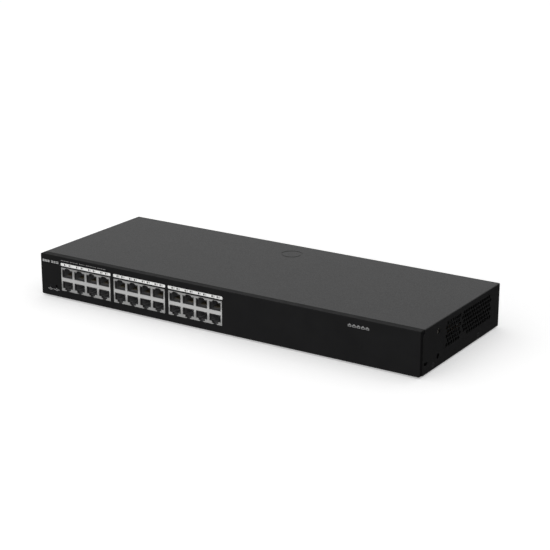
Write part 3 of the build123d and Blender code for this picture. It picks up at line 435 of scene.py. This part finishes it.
def plate(name, outlines, place, material):
    """An ink film cut to closed outlines in millimetres; one inside another is a hole."""
    shape = bmesh.new()
    edges = []
    for outline in outlines:
        corners = [shape.verts.new((x * MM, y * MM, 0)) for x, y in outline]
        edges += [shape.edges.new(pair) for pair in zip(corners, corners[1:] + corners[:1])]
    bmesh.ops.triangle_fill(shape, edges=edges, use_beauty=True)
    raised = bmesh.ops.extrude_face_region(shape, geom=shape.faces[:])
    tops = [v for v in raised["geom"] if isinstance(v, bmesh.types.BMVert)]
    bmesh.ops.translate(shape, verts=tops, vec=(0, 0, PRINT * MM))
    bmesh.ops.recalc_face_normals(shape, faces=shape.faces)
    mesh = bpy.data.meshes.new(name)
    shape.to_mesh(mesh)
    shape.free()
    mesh.transform(place)
    return finish_piece(name, mesh, material)


NUMERAL_SHARE = 0.7  # a numeral's height as a share of the font's size
NUMERAL_SPACING = 0.95
NUMERAL_BOLDER = 0.01


def numerals(name, labels, place, height, material):
    """Numbers over a print, centred on points: labels is a list of (text, x, y) in millimetres."""
    raised = (PRINT + PRINT / 2) * MM
    joined = bmesh.new()
    for text, x, y in labels:
        curve = bpy.data.curves.new(name, "FONT")
        curve.body = text
        curve.size = height * MM / NUMERAL_SHARE
        curve.align_x = "CENTER"
        curve.align_y = "CENTER"
        curve.space_character = NUMERAL_SPACING
        curve.offset = NUMERAL_BOLDER * MM
        curve.extrude = PRINT * MM / 2
        curve.resolution_u = 4
        holder = bpy.data.objects.new(name, curve)
        mesh = bpy.data.meshes.new_from_object(holder)
        mesh.transform(Matrix.Translation((x * MM, y * MM, raised)))
        joined.from_mesh(mesh)
        bpy.data.objects.remove(holder)
        bpy.data.curves.remove(curve)
        bpy.data.meshes.remove(mesh)
    bmesh.ops.remove_doubles(joined, verts=joined.verts, dist=1e-7)
    mesh = bpy.data.meshes.new(name)
    joined.to_mesh(mesh)
    joined.free()
    mesh.transform(place)
    return finish_piece(name, mesh, material)


# ---------------------------------------------------------------- prints on the bezel
# Millimetres from the chassis's left side and from its floor.
PORT_PITCH = 15.8
COLUMNS = [PORT_PITCH * (i - 1.5) for i in range(4)]
LAMP_HALF_HEIGHT = 0.9  # of a light pipe's own end
LAMP_SHIFT = -0.45
LAMP_OFFSET = 3.05
WINDOW_SIZE = (1.3, 1.9)
BAR_HALF_WIDTH = 32.3
BAR_HALF_HEIGHT = 1.55
BAR_RADIUS = 0.9
NUMBER_SHIFT = 1.9
NUMBER_HEIGHT = 1.7
LEGEND_LEFT = 27.2
LEGEND_LEVEL = 39.95
LEGEND_GROUPS = (3, 3, 2, 4, 3)
MARK_LEVEL = 36.6
MARK_SQUARES = (2.6, 5.0, 7.4, 9.8)
MARK_BARS = ((13.8, 3.0), (17.4, 2.4), (20.4, 3.2))
PICTOGRAM_LEVEL = 7.2
RING = (0.95, 1.3)  # inner and outer radius of a pictogram
ICON_LEFT = 365.6
ICON_BOTTOM = 34.7
ICON_PITCH = 4.6
ICON_COUNT = 5
ICON = ((0, 0), (3.6, 0), (3.6, 2.0), (2.6, 2.0), (2.6, 2.8), (1.0, 2.8), (1.0, 2.0), (0, 2.0))
ICON_WINDOW = (0.6, 0.5, 3.0, 1.4)
lamp_level = (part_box("light_pipe_1")[1].z - chassis_floor) / MM - LAMP_HALF_HEIGHT


def port_bar(number):
    """White bar over one jack block, with a window and a port number for each socket."""
    low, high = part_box(f"jack_shield_{number}")
    middle = ((low.x + high.x) / 2 - chassis_left) / MM
    outlines = [
        rectangle(
            middle - BAR_HALF_WIDTH,
            lamp_level - BAR_HALF_HEIGHT,
            middle + BAR_HALF_WIDTH,
            lamp_level + BAR_HALF_HEIGHT,
            radius=BAR_RADIUS,
        )
    ]
    labels = []
    half_w, half_h = WINDOW_SIZE[0] / 2, WINDOW_SIZE[1] / 2
    for column_index, column in enumerate(COLUMNS):
        for side in (0, 1):
            lamp_x = middle + column + LAMP_SHIFT + (2 * side - 1) * LAMP_OFFSET
            window = rectangle(
                lamp_x - half_w, lamp_level - half_h, lamp_x + half_w, lamp_level + half_h
            )
            outlines.append(window)
            port = (number - 1) * 8 + column_index * 2 + side + 1
            labels.append((str(port), lamp_x + NUMBER_SHIFT, lamp_level))
    plate(f"port_bar_{number}", outlines, ON_FRONT, INK_WHITE)
    numbers = f"port_numbers_{number}"
    numerals(numbers, labels, ON_FRONT, NUMBER_HEIGHT, INK_NUMBER)


for block_number in (1, 2, 3):
    port_bar(block_number)


def lamp_legend():
    """Plain squares over the first block, each with a row of dashes of three lengths."""
    square, dash_height, after_square, gap, after_group = 1.0, 0.6, 0.5, 0.55, 1.3
    lengths = (1.6, 2.5, 3.4)
    outlines = []
    x = LEGEND_LEFT
    for dashes in LEGEND_GROUPS:
        low, high = LEGEND_LEVEL - square / 2, LEGEND_LEVEL + square / 2
        outlines.append(rectangle(x, low, x + square, high))
        x += square + after_square
        low, high = LEGEND_LEVEL - dash_height / 2, LEGEND_LEVEL + dash_height / 2
        for dash in range(dashes):
            length = lengths[(dash + dashes) % len(lengths)]
            outlines.append(rectangle(x, low, x + length, high))
            x += length + gap
        x += after_group
    plate("lamp_legend", outlines, ON_FRONT, INK_DIM)


def corner_mark():
    """Generic mark at the upper left: four squares, then two rows of bars."""
    half_height, square, near, far = 1.2, 1.7, 0.3, 1.1
    outlines = []
    for x in MARK_SQUARES:
        low, high = MARK_LEVEL - half_height, MARK_LEVEL + half_height
        outlines.append(rectangle(x, low, x + square, high, radius=0.4))
    for x, length in MARK_BARS:
        outlines.append(rectangle(x, MARK_LEVEL - far, x + length, MARK_LEVEL - near))
        outlines.append(rectangle(x, MARK_LEVEL + near, x + length, MARK_LEVEL + far))
    plate("corner_mark", outlines, ON_FRONT, INK_GREY)


def service_pictograms():
    """Power and reset pictograms under the power lamp and the reset pinhole."""
    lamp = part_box("power_light_pipe")
    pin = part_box("reset_button")
    lamp_x = ((lamp[0].x + lamp[1].x) / 2 - chassis_left) / MM
    pin_x = ((pin[0].x + pin[1].x) / 2 - chassis_left) / MM
    level = PICTOGRAM_LEVEL
    arrow = ((0.6, -0.25), (1.75, -0.25), (1.15, 0.65))
    outlines = [
        arc_band(lamp_x, level, *RING, 120, 420),
        rectangle(lamp_x - 0.18, level + 0.3, lamp_x + 0.18, level + 1.6),
        arc_band(pin_x, level, *RING, 60, 350),
        [(pin_x + x, level + y) for x, y in arrow],
    ]
    for x in (lamp_x, pin_x):
        outlines.append(rectangle(x - 3.3, level - 0.3, x - 1.9, level + 0.3))
        outlines.append(rectangle(x + 2.1, level - 0.3, x + 3.4, level + 0.3))
    plate("service_pictograms", outlines, ON_FRONT, INK_GREY)


def right_mark():
    """Row of socket pictograms at the upper right."""
    left, bottom, right, top = ICON_WINDOW
    outlines = []
    for index in range(ICON_COUNT):
        start = ICON_LEFT + ICON_PITCH * index
        outlines.append([(start + x, ICON_BOTTOM + y) for x, y in ICON])
        window = rectangle(
            start + left, ICON_BOTTOM + bottom, start + right, ICON_BOTTOM + top
        )
        outlines.append(window)
    plate("right_mark", outlines, ON_FRONT, INK_SOFT)


lamp_legend()
corner_mark()
service_pictograms()
right_mark()


# ---------------------------------------------------------------- stage, light and camera
FLOOR_REACH = 9
FLOOR_ALBEDO = 0.9
FLOOR_GLOW = 0.33
SURROUND_RADIUS = 12
HORIZON = (-0.06, 0.1)  # heights between which the ground fades into the sky
CAMERA_AZIMUTH = 32.73
CAMERA_ELEVATION = 17.91
CAMERA_DISTANCE = 1.5295
CAMERA_LENS = 99.77
AIM_OFFSET = Vector((0.0072, 0.0096, 0.0130))


def self_lit(name, albedo, roughness, glow):
    """Matt grey paper with a glow of its own."""
    paper = Surface(name, (albedo, albedo, albedo), roughness, specular=0.0)
    paper.set("Emission Color", (1, 1, 1, 1))
    paper.set("Emission Strength", glow)
    return paper.material


def stage_floor():
    """Pale floor that shows to the camera and takes the switch's soft shadow."""
    signs = ((-1, -1), (1, -1), (1, 1), (-1, 1))
    corners = [(FLOOR_REACH * x, FLOOR_REACH * y, 0) for x, y in signs]
    mesh = bpy.data.meshes.new("floor")
    mesh.from_pydata(corners, [], [(0, 1, 2, 3)])
    mesh.materials.append(self_lit("pale_floor", FLOOR_ALBEDO, 0.9, FLOOR_GLOW))
    floor = bpy.data.objects.new("floor", mesh)
    floor.location.z = cad_low.z
    stage_only(floor)


def stage_dome():
    """White surround that shows to the camera and lights nothing."""
    shape = bmesh.new()
    bmesh.ops.create_uvsphere(shape, u_segments=48, v_segments=24, radius=SURROUND_RADIUS)
    bmesh.ops.reverse_faces(shape, faces=shape.faces)
    mesh = bpy.data.meshes.new("surround")
    shape.to_mesh(mesh)
    shape.free()
    mesh.materials.append(self_lit("white_surround", 0, 1.0, 1.0))
    stage_only(bpy.data.objects.new("surround", mesh))


def stage_only(backdrop):
    """Add a backdrop that stays out of the switch's own light and reflections."""
    bpy.context.scene.collection.objects.link(backdrop)
    backdrop.visible_diffuse = False
    backdrop.visible_glossy = False
    backdrop.visible_transmission = False
    backdrop.visible_shadow = False


def look_back(thing, target, azimuth, elevation, distance):
    """Place an object at an angle round the target, and turn it to look at the target."""
    a, e = math.radians(azimuth), math.radians(elevation)
    away = Vector((math.sin(a) * math.cos(e), -math.cos(a) * math.cos(e), math.sin(e)))
    thing.location = target + away * distance
    thing.rotation_mode = "QUATERNION"
    thing.rotation_quaternion = (-away).to_track_quat("-Z", "Y")
    bpy.context.scene.collection.objects.link(thing)


def softbox(name, target, azimuth, elevation, distance, size, watts):
    """Rectangular area light that looks at target from an angle round the switch."""
    light = bpy.data.lights.new(name, "AREA")
    light.shape = "RECTANGLE"
    light.size, light.size_y = size
    light.energy = watts
    look_back(bpy.data.objects.new(name, light), target, azimuth, elevation, distance)


def studio_world(toward, bright, dim, ground):
    """Sky that is brighter on one side of the studio, over a dark floor below the horizon."""
    world = bpy.data.worlds.new("studio")
    bpy.context.scene.world = world
    world.use_nodes = True
    tree = world.node_tree
    nodes, links = tree.nodes, tree.links
    place = nodes.new("ShaderNodeTexCoord").outputs["Generated"]
    along = nodes.new("ShaderNodeVectorMath")
    along.operation = "DOT_PRODUCT"
    along.inputs[1].default_value = toward
    links.new(place, along.inputs[0])
    sky = map_range(tree, along.outputs["Value"], dim, bright, -1, 1)
    split = nodes.new("ShaderNodeSeparateXYZ")
    links.new(place, split.inputs["Vector"])
    above = map_range(tree, split.outputs["Z"], 0, 1, *HORIZON)
    level = nodes.new("ShaderNodeMix")
    level.inputs["A"].default_value = ground
    links.new(above, level.inputs["Factor"])
    links.new(sky, level.inputs["B"])
    links.new(level.outputs["Result"], nodes["Background"].inputs["Strength"])
    nodes["Background"].inputs["Color"].default_value = (1, 1, 1, 1)


def set_camera():
    """Camera that looks down on the front and the right side."""
    camera = bpy.data.objects.new("camera", bpy.data.cameras.new("camera"))
    target = switch_middle + AIM_OFFSET
    look_back(camera, target, CAMERA_AZIMUTH, CAMERA_ELEVATION, CAMERA_DISTANCE)
    camera.data.lens = CAMERA_LENS
    camera.data.clip_start = 0.05
    camera.data.clip_end = 50
    bpy.context.scene.camera = camera


stage_floor()
stage_dome()
studio_world(toward=(-0.7, 0.5, 0.5), bright=0.9, dim=0.5, ground=0.03)
softbox("front_softbox", switch_middle, -15, 4, 2.4, (1.8, 1.0), 33)
set_camera()
bpy.context.scene.view_settings.view_transform = "Standard"
